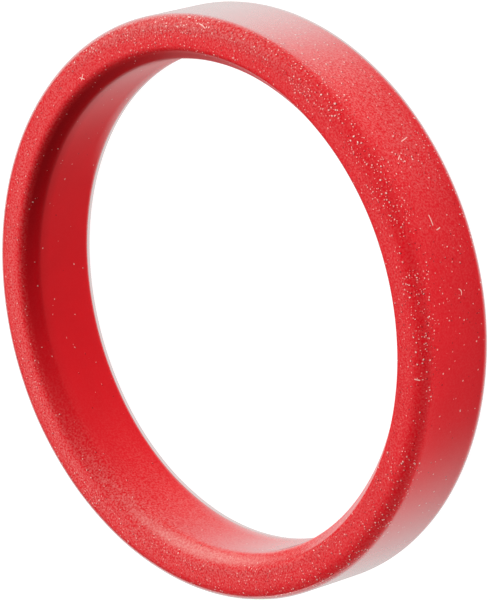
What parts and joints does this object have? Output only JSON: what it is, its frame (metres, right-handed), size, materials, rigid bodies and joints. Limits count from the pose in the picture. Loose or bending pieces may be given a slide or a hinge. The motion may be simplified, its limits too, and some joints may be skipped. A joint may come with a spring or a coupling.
{
  "type": "watch case opening friction ring",
  "caption": "Moulded rubber friction ring with a plain bore and a bevelled seat, for turning or resting a watch case.",
  "frame": {"origin": "middle of the flat rear face, on the ring's axis", "axes": "+Z along the ring's axis, from the rear face to the front face with the bevelled seat; X and Y are free, as the ring is round"},
  "size_m": [0.06, 0.06, 0.0102],
  "materials": {
    "red_rubber": "matte"
  },
  "bodies": {
    "root": {"friction_ring": "red_rubber"}
  },
  "joints": []
}
